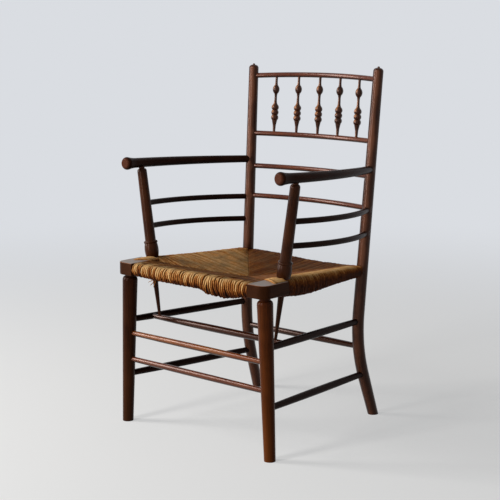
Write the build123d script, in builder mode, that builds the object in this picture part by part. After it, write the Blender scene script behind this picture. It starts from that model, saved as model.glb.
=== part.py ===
from build123d import *
from dataclasses import dataclass
from math import sqrt
import os

# Rush-seat armchair of turned wood, in millimetres.
# +X is to the right of someone who faces the chair, +Y is towards its back and +Z is up.
# The origin is on the floor under the middle of the chair.
# Right-hand pieces are drawn, and the left-hand ones are their mirror images.

# Fits
socket_clearance = 0.1  # glue room round a tenon
rush_clearance = 0.3  # room between the rush and its neighbours
deep_seat = 2.0  # from the tip of a tenon to the axis of the piece that it enters
tenon_wall = 0.5  # wood left between tenons that cross in one piece

# Seat frame: a corner pad in front at each side, and rails with rounded edges
seat_front_z = 395.0
seat_fall = 14.0
back_rail_drop = 8.0  # below the rear ends of the side rails
seat_rail_width = 30.0
seat_rail_height = 18.0
seat_tenon_diameter = 12.0
seat_tenon_length = 14.0
pad_front_y = -243.5
pad_depth = 82.5
pad_inner_x = 180.5
pad_width = 51.0
pad_corner_radius = 21.0
pad_edge_radius = 2.0
side_rail_inset = 22.5

# Rush seat
rush_thickness = 6.0
rush_sag = 12.0  # of the underside, in front and at the fore ends of the sides
seat_centre_y = -31.0
seat_dish = 29.0
seat_centre_thickness = 20.0

# Back posts, each one length bent at the knee
post_height = 850.0
post_knee_x = 178.0
post_knee_y = 158.5
post_knee_z = 182.0
post_foot_splay = 11.0
post_foot_kick = 59.5
post_top_splay = 17.0
post_top_rake = 51.0
post_bend_radius = 400.0
post_diameter = 28.7
post_foot_diameter = 25.3
post_top_diameter = 24.3
post_dome_height = 8.0
nipple_diameter = 6.0
nipple_neck = 0.5

# Rails of the back, each by its drop from the one above
rail_diameter = 12.8
rail_bow = 29.0
top_rail_drop = 31.0
top_rail_arch = 5.0
second_rail_drop = 145.0
third_rail_drop = 83.0
fourth_rail_drop = 76.0

# Spindles between the top and second rails
spindle_count = 5
spindle_pitch = 65.0
spindle_end_diameter = 6.4
spindle_waist_diameter = 6.6
spindle_taper_diameter = 8.0
spindle_ball_diameter = 17.2
spindle_ball_height = 21.0
spindle_throat_diameter = 8.4
spindle_bead_diameter = 18.6
spindle_groove_diameter = 13.4
spindle_bead_count = 3
spindle_bead_height = 12.8
spindle_bead_foot = 28.3
spindle_taper_height = 15.0
spindle_ball_drop = 30.0

# Front legs
leg_inset_x = 30.5
leg_inset_y = 25.5
leg_splay = 15.5
leg_foot_diameter = 26.0
leg_top_diameter = 36.0
leg_shoulder_height = 9.0
leg_neck_diameter = 25.0
leg_neck_height = 6.5
leg_tenon_diameter = 20.0
leg_tenon_length = 20.0

# Arms
arm_ball_rise = 228.0
arm_post_rise = 227.0
arm_overhang = 5.2
arm_nose = 47.0
arm_bow = 23.0
arm_ball_diameter = 30.0
arm_face_diameter = 18.0
arm_face_depth = 10.0
arm_flare_length = 30.0
arm_front_diameter = 23.5
arm_rear_diameter = 18.0

# Arm supports
support_setback = 12.0
support_foot_inset = 2.0
support_top_diameter = 23.0
support_top_gap = 3.0
support_shoulder_height = 7.0
support_shoulder_inset = 3.5
support_tenon_diameter = 14.0
support_ring_rise = 37.0
support_ring_diameter = 33.0
support_shaft_diameter = 26.0
support_ring_height = 7.0
support_groove_diameter = 30.0
support_belly_rise = 25.0
support_belly_diameter = 33.0
support_base_diameter = 28.5
support_shank_diameter = 14.0
support_tail_drop = 10.0
support_tail_diameter = 7.0

# Side rods under the arms
rod_diameter = 13.4
rod_bow = 35.0
rod_front_rise = 129.5
rod_post_rise = 131.0
rod_front_gap = 55.0
rod_post_gap = 57.0

# Stretchers
stretcher_tenon_length = 16.0
front_stretcher_diameter = 14.6
front_stretcher_end_diameter = 12.6
front_stretcher_z = 220.0
front_stretcher_gap = 64.0
side_stretcher_diameter = 17.4
side_stretcher_end_diameter = 14.8
side_stretcher_leg_z = 252.0
side_stretcher_post_z = 242.0
side_stretcher_gap = 134.0
back_stretcher_diameter = 16.0
back_stretcher_end_diameter = 14.0
back_stretcher_z = 179.0
cross_stretcher_diameter = 16.6
cross_stretcher_end_diameter = 12.0

# Worked-out places
roll_height = seat_rail_height + 2 * rush_thickness
front_rail_z = seat_front_z - roll_height / 2
side_rear_z = front_rail_z - seat_fall
back_rail_z = side_rear_z - back_rail_drop
pad_bottom_z = seat_front_z - roll_height
pad_rear_y = pad_front_y + pad_depth
pad_outer_x = pad_inner_x + pad_width
front_rail_y = pad_front_y + rush_thickness + seat_rail_width / 2
seat_centre_top_z = seat_front_z - seat_dish
seat_centre_bottom_z = seat_centre_top_z - seat_centre_thickness
top_rail_z = post_height - top_rail_drop
second_rail_z = top_rail_z - second_rail_drop
third_rail_z = second_rail_z - third_rail_drop
fourth_rail_z = third_rail_z - fourth_rail_drop
support_y = pad_rear_y + support_setback
behind_rail = rail_diameter / 2 + tenon_wall
behind_seat_rail = seat_tenon_diameter / 2 + tenon_wall
behind_side_stretcher = side_stretcher_end_diameter / 2 + tenon_wall


def mirrored(point):
    """The same point on the other side of the chair."""
    return Vector(-point.X, point.Y, point.Z)


def at_height(low, high, z):
    """Point at height z on the line through two points."""
    return low + (high - low) * ((z - low.Z) / (high.Z - low.Z))


def at_depth(front, back, y):
    """Point at depth y on the line through two points."""
    return front + (back - front) * ((y - front.Y) / (back.Y - front.Y))


def path_point(path, reached):
    """Point of a path where a test first holds, found by halving."""
    halvings = 40
    low = 0.0
    high = 1.0
    for _ in range(halvings):
        middle = (low + high) / 2
        if reached(path @ middle):
            high = middle
        else:
            low = middle
    return path @ high


def seated(start, end, start_inset, end_inset):
    """Tips of a straight member that stops short of the axes which it joins."""
    along = (end - start).normalized()
    return start + along * start_inset, end - along * end_inset


def across(end, inset):
    """Tips of a straight member between a point and its mirror image."""
    return seated(mirrored(end), end, inset, inset)


def bowed(start, middle, end, start_inset, end_inset):
    """Arc through three points, cut back at both ends."""
    arc = Edge.make_three_point_arc(start, middle, end)
    return arc.trim(start_inset / arc.length, 1 - end_inset / arc.length)


def turning_plane(start, end):
    """Plane whose X is a radius, away from the sockets, and whose Y runs along the turned axis."""
    along = (end - start).normalized()
    clear_side = Vector(1, 1, -1)
    radius = (clear_side - along * clear_side.dot(along)).normalized()
    return Plane(origin=start, x_dir=radius, z_dir=radius.cross(along))


def bore(start, end, diameter):
    """Cuts the socket of a straight round member out of the piece being made."""
    with BuildSketch(Plane(origin=start, z_dir=end - start)) as mouth:
        Circle(diameter / 2 + socket_clearance)
    extrude(mouth.sketch, amount=(end - start).length, mode=Mode.SUBTRACT)


def round_along(path, start_diameter, end_diameter, clearance=0.0, mode=Mode.ADD):
    """Round bar along an arc, of one diameter or tapered."""
    with BuildSketch(Plane(origin=path @ 0, z_dir=path % 0)) as first:
        Circle(start_diameter / 2 + clearance)
    with BuildSketch(Plane(origin=path @ 1, z_dir=path % 1)) as last:
        Circle(end_diameter / 2 + clearance)
    if start_diameter == end_diameter:
        sweep(first.sketch, path=path, mode=mode)
    else:
        sweep([first.sketch, last.sketch], path=path, multisection=True, mode=mode)


def stretcher(tips, diameter, end_diameter):
    """Straight round member that swells between its straight ends."""
    length = (tips[1] - tips[0]).length
    end_radius = end_diameter / 2
    with BuildPart() as bar:
        with BuildSketch(turning_plane(*tips)):
            with BuildLine():
                Polyline((0, 0), (end_radius, 0), (end_radius, stretcher_tenon_length))
                Spline(
                    (end_radius, stretcher_tenon_length),
                    (diameter / 2, length / 2),
                    (end_radius, length - stretcher_tenon_length),
                )
                Polyline(
                    (end_radius, length - stretcher_tenon_length),
                    (end_radius, length),
                    (0, length),
                    (0, 0),
                )
            make_face()
        revolve(axis=Axis(tips[0], tips[1] - tips[0]))
    return bar.part


def write(piece, label):
    """Labels a finished piece and writes its file."""
    piece.label = label
    export_step(piece, f"parts/{label}.step")


def write_pair(piece, label):
    """Writes a right-hand piece and its mirror image."""
    write(piece, f"{label}_right")
    with BuildPart() as twin:
        mirror(piece, about=Plane.YZ)
    write(twin.part, f"{label}_left")


# Axes of the standing members
post_knee = Vector(post_knee_x, post_knee_y, post_knee_z)
post_foot = Vector(post_knee_x + post_foot_splay, post_knee_y + post_foot_kick, 0)
post_top = Vector(post_knee_x + post_top_splay, post_knee_y + post_top_rake, post_height)
leg_top = Vector(pad_inner_x + leg_inset_x, pad_front_y + leg_inset_y, pad_bottom_z)
leg_foot = Vector(leg_top.X + leg_splay, leg_top.Y, 0)

with BuildLine() as post_path:
    FilletPolyline(post_foot, post_knee, post_top, radius=post_bend_radius)
post_bend = post_path.edges().sort_by(Axis.Z)[1]
bend_low, bend_high = sorted((post_bend @ 0, post_bend @ 1), key=lambda point: point.Z)


def post_at(z):
    """Point of the back post's axis at height z."""
    if z < bend_low.Z:
        return at_height(post_foot, bend_low, z)
    if z > bend_high.Z:
        return at_height(bend_high, post_top, z)
    rises = (post_bend @ 1).Z > (post_bend @ 0).Z
    return path_point(post_bend, lambda point: (point.Z > z) == rises)


# Arcs of the back rails
rail_paths = {}
for rail_name, rail_z, rail_arch in (
    ("top", top_rail_z, top_rail_arch),
    ("second", second_rail_z, 0),
    ("third", third_rail_z, 0),
    ("fourth", fourth_rail_z, 0),
):
    rail_end = post_at(rail_z)
    rail_middle = Vector(0, rail_end.Y + rail_bow, rail_z + rail_arch)
    rail_paths[rail_name] = bowed(mirrored(rail_end), rail_middle, rail_end, deep_seat, deep_seat)

# Axes of the spindles
spindle_axes = []
for place in range(spindle_count):
    spindle_x = (place - (spindle_count - 1) / 2) * spindle_pitch
    low_end = path_point(rail_paths["second"], lambda point: point.X > spindle_x)
    high_end = path_point(rail_paths["top"], lambda point: point.X > spindle_x)
    spindle_axes.append((low_end, high_end))

# Tips of the stretchers
side_upper = seated(
    at_height(leg_foot, leg_top, side_stretcher_leg_z),
    post_at(side_stretcher_post_z),
    deep_seat,
    deep_seat,
)
side_lower = seated(
    at_height(leg_foot, leg_top, side_stretcher_leg_z - side_stretcher_gap),
    post_at(side_stretcher_post_z - side_stretcher_gap),
    deep_seat,
    deep_seat,
)
front_upper = across(at_height(leg_foot, leg_top, front_stretcher_z), behind_side_stretcher)
front_lower_z = front_stretcher_z - front_stretcher_gap
front_lower = across(at_height(leg_foot, leg_top, front_lower_z), behind_side_stretcher)
back_low = across(post_at(back_stretcher_z), deep_seat)
cross_end = at_depth(*side_upper, support_y)
cross_low = across(cross_end, deep_seat)

# Arc of the arm, and the straight axis of its support from the cross stretcher up to it
arm_front = Vector(pad_outer_x + arm_overhang, support_y - arm_nose, seat_front_z + arm_ball_rise)
arm_rear = post_at(seat_front_z - seat_fall + arm_post_rise)
arm_middle = (arm_front + arm_rear) / 2 + Vector(arm_bow, 0, 0)
arm_path = bowed(arm_front, arm_middle, arm_rear, arm_flare_length, behind_rail)
support_foot = Vector(pad_inner_x + support_foot_inset, support_y, cross_end.Z)
support_head = path_point(arm_path, lambda point: point.Y > support_y)
support_along = (support_head - support_foot).normalized()
support_tips = seated(support_foot, support_head, deep_seat, deep_seat)

# Arcs of the side rods
rod_paths = {}
for rod_name, drop in (("upper", 0), ("lower", 1)):
    rod_front_z = seat_front_z + rod_front_rise - drop * rod_front_gap
    rod_post_z = seat_front_z - seat_fall + rod_post_rise - drop * rod_post_gap
    rod_front = at_height(support_foot, support_head, rod_front_z)
    rod_rear = post_at(rod_post_z)
    rod_middle = (rod_front + rod_rear) / 2 + Vector(rod_bow, 0, 0)
    rod_paths[rod_name] = bowed(rod_front, rod_middle, rod_rear, deep_seat, behind_rail)

# Axes of the seat frame
seat_corner = post_at(back_rail_z)
side_corner = post_at(side_rear_z)
side_rail_front = Vector(pad_inner_x + side_rail_inset, pad_rear_y, front_rail_z)
side_rail_run = side_corner - side_rail_front
side_tenon_tip = side_corner - side_rail_run.normalized() * behind_seat_rail
leg_along = (leg_top - leg_foot).normalized()
leg_tenon_tip = leg_top + leg_along * leg_tenon_length
front_tenon = across(Vector(pad_inner_x + seat_tenon_length, front_rail_y, front_rail_z), 0)
back_tenon = across(seat_corner, deep_seat)

os.makedirs("parts", exist_ok=True)

# Back post: straight taper with a domed top, constant bend, and a splayed foot cut flat
upper_length = (post_top - bend_high).length
top_radius = post_top_diameter / 2
nipple_radius = nipple_diameter / 2
nipple_mark = upper_length - nipple_radius
dome_mark = nipple_mark - nipple_neck - post_dome_height
foot_along = (post_foot - bend_low).normalized()
below_floor = post_foot + foot_along * post_foot_diameter
lower_length = (post_foot - bend_low).length

with BuildPart() as back_post:
    with BuildSketch(turning_plane(bend_high, post_top)):
        with BuildLine():
            Polyline((0, 0), (post_diameter / 2, 0), (top_radius, dome_mark))
            EllipticalCenterArc(
                (nipple_radius, dome_mark), top_radius - nipple_radius, post_dome_height, arc_size=90
            )
            Line((nipple_radius, nipple_mark - nipple_neck), (nipple_radius, nipple_mark))
            CenterArc((0, nipple_mark), nipple_radius, 0, 90)
            Line((0, upper_length), (0, 0))
        make_face()
    revolve(axis=Axis(bend_high, post_top - bend_high))
    with BuildSketch(Plane(origin=post_bend @ 0, z_dir=post_bend % 0)):
        Circle(post_diameter / 2)
    sweep(path=post_bend)
    with BuildSketch(turning_plane(bend_low, below_floor)):
        with BuildLine():
            Polyline(
                (0, 0),
                (post_diameter / 2, 0),
                (post_foot_diameter / 2, lower_length),
                (post_foot_diameter / 2, lower_length + post_foot_diameter),
                (0, lower_length + post_foot_diameter),
                close=True,
            )
        make_face()
    revolve(axis=Axis(bend_low, foot_along))
    split(bisect_by=Plane.XY, keep=Keep.TOP)
    for path in rail_paths.values():
        round_along(path, rail_diameter, rail_diameter, socket_clearance, Mode.SUBTRACT)
    for path in rod_paths.values():
        round_along(path, rod_diameter, rod_diameter, socket_clearance, Mode.SUBTRACT)
    round_along(arm_path, arm_front_diameter, arm_rear_diameter, socket_clearance, Mode.SUBTRACT)
    bore(*side_upper, side_stretcher_end_diameter)
    bore(*side_lower, side_stretcher_end_diameter)
    bore(*back_low, back_stretcher_end_diameter)
    bore(side_rail_front, side_tenon_tip, seat_tenon_diameter)
    bore(*back_tenon, seat_tenon_diameter)
write_pair(back_post.part, "back_post")

# Bowed rails of the back, the top two drilled for the spindles
for rail_name, path in rail_paths.items():
    with BuildPart() as back_rail:
        round_along(path, rail_diameter, rail_diameter)
        if rail_name in ("top", "second"):
            for low_end, high_end in spindle_axes:
                bore(low_end, high_end, spindle_end_diameter)
    write(back_rail.part, f"back_rail_{rail_name}")

# Spindles: a taper, a stack of beads, a waist, a ball and a neck
end_radius = spindle_end_diameter / 2
groove_radius = spindle_groove_diameter / 2
throat_radius = spindle_throat_diameter / 2
spindle_foot = rail_diameter / 2
for number, (low_end, high_end) in enumerate(spindle_axes, start=1):
    spindle_length = (high_end - low_end).length
    spindle_neck = spindle_length - spindle_foot
    taper_mark = spindle_foot + spindle_taper_height
    bead_marks = [
        spindle_foot + spindle_bead_foot + bead * spindle_bead_height
        for bead in range(spindle_bead_count + 1)
    ]
    ball_mark = spindle_neck - spindle_ball_drop
    ball_low = ball_mark - spindle_ball_height / 2
    ball_high = ball_mark + spindle_ball_height / 2
    waist_mark = (bead_marks[-1] + ball_low) / 2
    with BuildPart() as spindle:
        with BuildSketch(turning_plane(low_end, high_end)):
            with BuildLine():
                Polyline(
                    (0, 0),
                    (end_radius, 0),
                    (end_radius, spindle_foot),
                    (spindle_taper_diameter / 2, taper_mark),
                    (groove_radius, bead_marks[0]),
                )
                for bead_low, bead_high in zip(bead_marks, bead_marks[1:]):
                    ThreePointArc(
                        (groove_radius, bead_low),
                        (spindle_bead_diameter / 2, (bead_low + bead_high) / 2),
                        (groove_radius, bead_high),
                    )
                Spline(
                    (groove_radius, bead_marks[-1]),
                    (spindle_waist_diameter / 2, waist_mark),
                    (throat_radius, ball_low),
                    tangents=((-1, 1), (0.3, 1)),
                )
                ThreePointArc(
                    (throat_radius, ball_low),
                    (spindle_ball_diameter / 2, ball_mark),
                    (throat_radius, ball_high),
                )
                Spline(
                    (throat_radius, ball_high),
                    (end_radius, spindle_neck),
                    tangents=((-0.3, 1), (0, 1)),
                )
                Polyline(
                    (end_radius, spindle_neck),
                    (end_radius, spindle_length),
                    (0, spindle_length),
                    (0, 0),
                )
            make_face()
        revolve(axis=Axis(low_end, high_end - low_end))
    write(spindle.part, f"spindle_{number}")

# Front leg: straight taper, rounded shoulder and neck up to the seat pad, then the tenon
leg_sole = leg_foot - leg_along * leg_foot_diameter
leg_end = leg_top + leg_along * leg_neck_height
shoulder_mark = leg_foot_diameter + (leg_top - leg_foot).length - leg_neck_height
leg_end_mark = (leg_end - leg_sole).length
neck_radius = leg_neck_diameter / 2
with BuildPart() as front_leg:
    with BuildSketch(turning_plane(leg_sole, leg_end)):
        with BuildLine():
            Polyline(
                (0, 0),
                (leg_foot_diameter / 2, 0),
                (leg_foot_diameter / 2, leg_foot_diameter),
                (leg_top_diameter / 2, shoulder_mark - leg_shoulder_height),
            )
            EllipticalCenterArc(
                (neck_radius, shoulder_mark - leg_shoulder_height),
                leg_top_diameter / 2 - neck_radius,
                leg_shoulder_height,
                arc_size=90,
            )
            Polyline(
                (neck_radius, shoulder_mark),
                (neck_radius, leg_end_mark),
                (0, leg_end_mark),
                (0, 0),
            )
        make_face()
    revolve(axis=Axis(leg_sole, leg_along))
    split(bisect_by=Plane.XY, keep=Keep.TOP)
    split(bisect_by=Plane.XY.offset(pad_bottom_z), keep=Keep.BOTTOM)
    with BuildSketch(Plane(origin=leg_tenon_tip, z_dir=-leg_along)):
        Circle(leg_tenon_diameter / 2)
    extrude(amount=leg_tenon_length + leg_neck_height)
    bore(*front_upper, front_stretcher_end_diameter)
    bore(*front_lower, front_stretcher_end_diameter)
    bore(*side_upper, side_stretcher_end_diameter)
    bore(*side_lower, side_stretcher_end_diameter)
write_pair(front_leg.part, "front_leg")

# Stretchers: two in front, one behind, two at each side, and one across that carries the supports
for tips, label in ((front_upper, "stretcher_front_upper"), (front_lower, "stretcher_front_lower")):
    write(stretcher(tips, front_stretcher_diameter, front_stretcher_end_diameter), label)
write(stretcher(back_low, back_stretcher_diameter, back_stretcher_end_diameter), "stretcher_back")
write_pair(
    stretcher(side_lower, side_stretcher_diameter, side_stretcher_end_diameter), "stretcher_lower"
)

with BuildPart() as stretcher_upper:
    add(stretcher(side_upper, side_stretcher_diameter, side_stretcher_end_diameter))
    bore(*cross_low, cross_stretcher_end_diameter)
write_pair(stretcher_upper.part, "stretcher_upper")

with BuildPart() as stretcher_cross:
    add(stretcher(cross_low, cross_stretcher_diameter, cross_stretcher_end_diameter))
    bore(*support_tips, support_tail_diameter)
    bore(*[mirrored(tip) for tip in support_tips], support_tail_diameter)
write(stretcher_cross.part, "stretcher_cross")

# Arm: tapered bow that flares to a knob with a flat face, drilled for its support
ball_radius = arm_ball_diameter / 2
face_radius = arm_face_diameter / 2
rim_turn = sqrt(0.5)  # half way round the rounded rim
flare_radius = arm_front_diameter / 2
flare_middle = flare_radius + (ball_radius - flare_radius) / 4
arm_along = arm_path % 0
ball_centre = arm_path @ 0 - arm_along * arm_flare_length
with BuildPart() as arm:
    round_along(arm_path, arm_front_diameter, arm_rear_diameter)
    with BuildSketch(turning_plane(ball_centre, arm_path @ 0)):
        with BuildLine():
            Polyline((0, arm_flare_length), (0, -arm_face_depth), (face_radius, -arm_face_depth))
            ThreePointArc(
                (face_radius, -arm_face_depth),
                (face_radius + (ball_radius - face_radius) * rim_turn, -arm_face_depth * rim_turn),
                (ball_radius, 0),
            )
            ThreePointArc(
                (ball_radius, 0),
                (flare_middle, arm_flare_length / 2),
                (flare_radius, arm_flare_length),
            )
            Line((flare_radius, arm_flare_length), (0, arm_flare_length))
        make_face()
    revolve(axis=Axis(ball_centre, arm_along))
    bore(*support_tips, support_tenon_diameter)
write_pair(arm.part, "arm")

# Bowed rods under the arm
for rod_name, path in rod_paths.items():
    with BuildPart() as side_rod:
        round_along(path, rod_diameter, rod_diameter)
    write_pair(side_rod.part, f"side_rod_{rod_name}")


def support_mark(z):
    """Distance along the support's axis, from its foot, at which it reaches a height."""
    return (z - support_foot.Z) / support_along.Z


# Arm support: tenon, rounded head, taper, ring, belly that stands on the seat, then shank and tail
head_mark = (support_head - support_foot).length - arm_front_diameter / 2 - support_top_gap
head_radius = support_top_diameter / 2 - support_shoulder_inset
seat_mark = support_mark(seat_front_z)
belly_mark = support_mark(seat_front_z + support_belly_rise)
ring_mark = support_mark(seat_front_z + support_ring_rise)
tail_mark = support_mark(pad_bottom_z - support_tail_drop)
base_radius = support_base_diameter / 2
support_groove_radius = support_groove_diameter / 2
shank_radius = support_shank_diameter / 2
tail_radius = support_tail_diameter / 2
with BuildPart() as arm_support:
    with BuildSketch(turning_plane(support_foot, support_head)):
        with BuildLine():
            Polyline(
                (0, seat_mark - base_radius),
                (base_radius, seat_mark - base_radius),
                (base_radius, seat_mark),
            )
            ThreePointArc(
                (base_radius, seat_mark),
                (support_belly_diameter / 2, belly_mark),
                (support_groove_radius, ring_mark - support_ring_height / 2),
            )
            ThreePointArc(
                (support_groove_radius, ring_mark - support_ring_height / 2),
                (support_ring_diameter / 2, ring_mark),
                (support_shaft_diameter / 2, ring_mark + support_ring_height / 2),
            )
            Line(
                (support_shaft_diameter / 2, ring_mark + support_ring_height / 2),
                (support_top_diameter / 2, head_mark - support_shoulder_height),
            )
            EllipticalCenterArc(
                (head_radius, head_mark - support_shoulder_height),
                support_shoulder_inset,
                support_shoulder_height,
                arc_size=90,
            )
            Polyline((head_radius, head_mark), (0, head_mark), (0, seat_mark - base_radius))
        make_face()
    revolve(axis=Axis(support_foot, support_along))
    split(bisect_by=Plane.XY.offset(seat_front_z + rush_clearance), keep=Keep.TOP)
    with BuildSketch(Plane(origin=support_tips[1], z_dir=-support_along)):
        Circle(support_tenon_diameter / 2)
    extrude(amount=arm_front_diameter)
    with BuildSketch(turning_plane(support_foot, support_head)):
        with BuildLine():
            Polyline(
                (0, deep_seat),
                (tail_radius, deep_seat),
                (tail_radius, cross_stretcher_diameter / 2),
                (shank_radius, tail_mark),
                (shank_radius, belly_mark),
                (0, belly_mark),
                close=True,
            )
        make_face()
    revolve(axis=Axis(support_foot, support_along))
    for path in rod_paths.values():
        round_along(path, rod_diameter, rod_diameter, socket_clearance, Mode.SUBTRACT)
write_pair(arm_support.part, "arm_support")

# Side rail of the seat: the corner pad in front, then the rail that the rush wraps, then its tenon
side_plane = Plane(origin=side_rail_front, x_dir=(-1, 0, 0), z_dir=(0, 1, 0))
post_face_gap = post_diameter / 2 + rush_clearance
side_rail_end = at_depth(side_rail_front, side_corner, side_corner.Y - post_face_gap)
shank_top = support_foot + support_along * belly_mark
with BuildPart() as side_rail:
    with BuildSketch(Plane.XY.offset(pad_bottom_z)) as pad_plan:
        with BuildLine():
            Polyline(
                (pad_inner_x, pad_front_y),
                (pad_outer_x, pad_front_y),
                (pad_outer_x, pad_rear_y),
                (pad_inner_x, pad_rear_y),
                close=True,
            )
        make_face()
        fillet(pad_plan.vertices().group_by(Axis.Y)[0].sort_by(Axis.X)[-1], pad_corner_radius)
    extrude(amount=roll_height)
    fillet(edges().filter_by(Plane.XY), pad_edge_radius)
    with BuildSketch(side_plane):
        SlotOverall(seat_rail_width, seat_rail_height)
    extrude(amount=(side_rail_end - side_rail_front).length, dir=side_rail_run)
    with BuildSketch(Plane(origin=side_tenon_tip, z_dir=-side_rail_run)):
        Circle(seat_tenon_diameter / 2)
    extrude(amount=(side_tenon_tip - side_rail_front).length)
    bore(*front_tenon, seat_tenon_diameter)
    bore(leg_foot, leg_tenon_tip, leg_tenon_diameter)
    bore(support_foot, shank_top, support_shank_diameter)
write_pair(side_rail.part, "seat_rail")

# Front and back rails of the seat
for rail_name, tenon, half_length in (
    ("front", front_tenon, pad_inner_x),
    ("back", back_tenon, seat_corner.X - post_face_gap),
):
    section_plane = Plane(origin=(tenon[0] + tenon[1]) / 2, x_dir=(0, 1, 0), z_dir=(1, 0, 0))
    with BuildPart() as cross_rail:
        with BuildSketch(section_plane):
            SlotOverall(seat_rail_width, seat_rail_height)
        extrude(amount=half_length, both=True)
        with BuildSketch(section_plane):
            Circle(seat_tenon_diameter / 2)
        extrude(amount=tenon[1].X, both=True)
    write(cross_rail.part, f"seat_rail_{rail_name}")


@dataclass
class Panel:
    """One of the four panels of the seat, wrapped round its rail and cut on the diagonals."""

    plane: Plane  # square to the rail, at the middle of its section, with X inwards
    run: Vector  # along the rail
    ends: list  # where along the run it starts and stops, and how far it sags there
    centre_reach: float  # from the rail inwards to the middle of the seat
    rail_z: float  # height of the rail level with the middle of the seat
    region: list  # outline of the panel in plan


def panel_form(panel, inset, sagging=False, whole=True):
    """A panel inset from its outer face: the whole of it, or only what lies behind its rail."""
    radius = roll_height / 2 - inset
    nose = (seat_rail_width - seat_rail_height) / 2
    heel = seat_rail_width / 2
    back = heel + rush_clearance
    reach = panel.centre_reach + roll_height
    stretch = (reach - heel) / (panel.centre_reach - heel)
    top = radius + stretch * (seat_centre_top_z - panel.rail_z - roll_height / 2)
    bottom = stretch * (seat_centre_bottom_z - panel.rail_z + roll_height / 2) - radius
    with BuildPart() as form:
        for along, full_sag in panel.ends:
            sag = full_sag if sagging else 0
            low = -radius - sag
            origin = panel.plane.origin + panel.run * along
            with BuildSketch(Plane(origin, panel.plane.x_dir, panel.plane.z_dir)):
                with BuildLine():
                    if whole:
                        ThreePointArc((-nose, low), (-nose - radius, -sag / 2), (-nose, radius))
                        Polyline((-nose, radius), (heel, radius), (reach, top))
                        Polyline((reach, top), (reach, bottom), (heel, low), (-nose, low))
                    else:
                        Polyline((back, radius), (reach, top), (reach, bottom), (back, -radius), close=True)
                make_face()
        loft(ruled=True)
        with BuildSketch():
            with BuildLine():
                Polyline(*panel.region, close=True)
            make_face()
            offset(amount=-rush_clearance, kind=Kind.INTERSECTION)
        extrude(amount=seat_front_z + roll_height, mode=Mode.INTERSECT)
    return form.part


# Rush seat: panels that meet in the middle, and the packed rush between their layers
rush_low_z = back_rail_z - roll_height / 2
post_face = post_at(rush_low_z) - Vector(post_diameter / 2, post_diameter / 2, 0)
seat_centre = (0, seat_centre_y)
beyond = roll_height + seat_rail_width
panels = {
    "front": Panel(
        Plane(origin=(0, front_rail_y, front_rail_z), x_dir=(0, 1, 0), z_dir=(1, 0, 0)),
        Vector(pad_outer_x, 0, 0),
        [(-1, rush_sag), (1, rush_sag)],
        seat_centre_y - front_rail_y,
        front_rail_z,
        [
            (-pad_inner_x, pad_front_y - beyond),
            (pad_inner_x, pad_front_y - beyond),
            (pad_inner_x, pad_rear_y),
            seat_centre,
            (-pad_inner_x, pad_rear_y),
        ],
    ),
    "back": Panel(
        Plane(origin=(0, seat_corner.Y, back_rail_z), x_dir=(0, -1, 0), z_dir=(-1, 0, 0)),
        Vector(pad_outer_x, 0, 0),
        [(-1, 0), (1, 0)],
        seat_corner.Y - seat_centre_y,
        back_rail_z,
        [
            (post_face.X, seat_corner.Y + beyond),
            (-post_face.X, seat_corner.Y + beyond),
            (-post_face.X, post_face.Y),
            seat_centre,
            (post_face.X, post_face.Y),
        ],
    ),
    "side": Panel(
        side_plane,
        side_rail_run,
        [(0, rush_sag), (1, 0)],
        side_rail_front.X,
        at_depth(side_rail_front, side_corner, seat_centre_y).Z,
        [
            (pad_inner_x, pad_rear_y),
            (pad_outer_x + beyond, pad_rear_y),
            (pad_outer_x + beyond, post_face.Y),
            (post_face.X, post_face.Y),
            seat_centre,
        ],
    ),
}
for panel_name, panel in panels.items():
    with BuildPart() as rush:
        add(panel_form(panel, 0, sagging=True))
        add(panel_form(panel, rush_thickness - socket_clearance), mode=Mode.SUBTRACT)
        if panel_name == "side":
            bore(support_foot, shank_top, support_shank_diameter + 2 * rush_clearance)
    stuffing = panel_form(panel, rush_thickness, whole=False)
    if panel_name == "side":
        write_pair(rush.part, "rush")
        write_pair(stuffing, "stuffing")
    else:
        write(rush.part, f"rush_{panel_name}")
        write(stuffing, f"stuffing_{panel_name}")
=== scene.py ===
"""Looks of a turned armchair with a rush seat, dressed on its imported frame."""
import math
import random

import bmesh
import bpy
from mathutils import Euler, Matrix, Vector, noise


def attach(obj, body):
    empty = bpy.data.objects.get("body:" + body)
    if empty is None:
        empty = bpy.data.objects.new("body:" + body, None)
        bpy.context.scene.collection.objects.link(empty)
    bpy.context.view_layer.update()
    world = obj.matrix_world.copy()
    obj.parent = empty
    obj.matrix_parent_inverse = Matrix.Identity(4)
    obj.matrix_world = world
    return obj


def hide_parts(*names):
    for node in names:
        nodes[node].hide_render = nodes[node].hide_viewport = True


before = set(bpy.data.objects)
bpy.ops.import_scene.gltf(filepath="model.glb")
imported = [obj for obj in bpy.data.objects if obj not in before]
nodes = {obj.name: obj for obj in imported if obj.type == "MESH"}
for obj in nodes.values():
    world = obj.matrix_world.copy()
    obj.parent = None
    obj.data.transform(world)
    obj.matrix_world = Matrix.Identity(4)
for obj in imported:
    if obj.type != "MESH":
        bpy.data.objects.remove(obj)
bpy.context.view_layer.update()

MM = 0.001
scene = bpy.context.scene
chance = random.Random(41)

# Camera, in metres and degrees, with its lens and sensor in millimetres
CAMERA_PLACE = (1.98111, -2.27352, 0.94219)
CAMERA_TILT = 9.885
CAMERA_TURN = 41.409
CAMERA_LENS = 92.34
CAMERA_SENSOR = 36.0

# Floor, backdrop and fill light, in metres
BACKDROP = "#DADDE2"
FLOOR = "#F2F0EC"
FLOOR_BOUNCE = "#8C7258"
FLOOR_LIFT = "#F4F5F6"
FLOOR_GLOW = 0.5
FLOOR_RADIUS = 9.0
FLOOR_SIDES = 96
FLOOR_ROUGHNESS = 0.9
FADE_START, FADE_END = 0.4, 3.4
FILL_LIGHT = "#EEEBE7"
FILL_STRENGTH = 0.06

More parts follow.
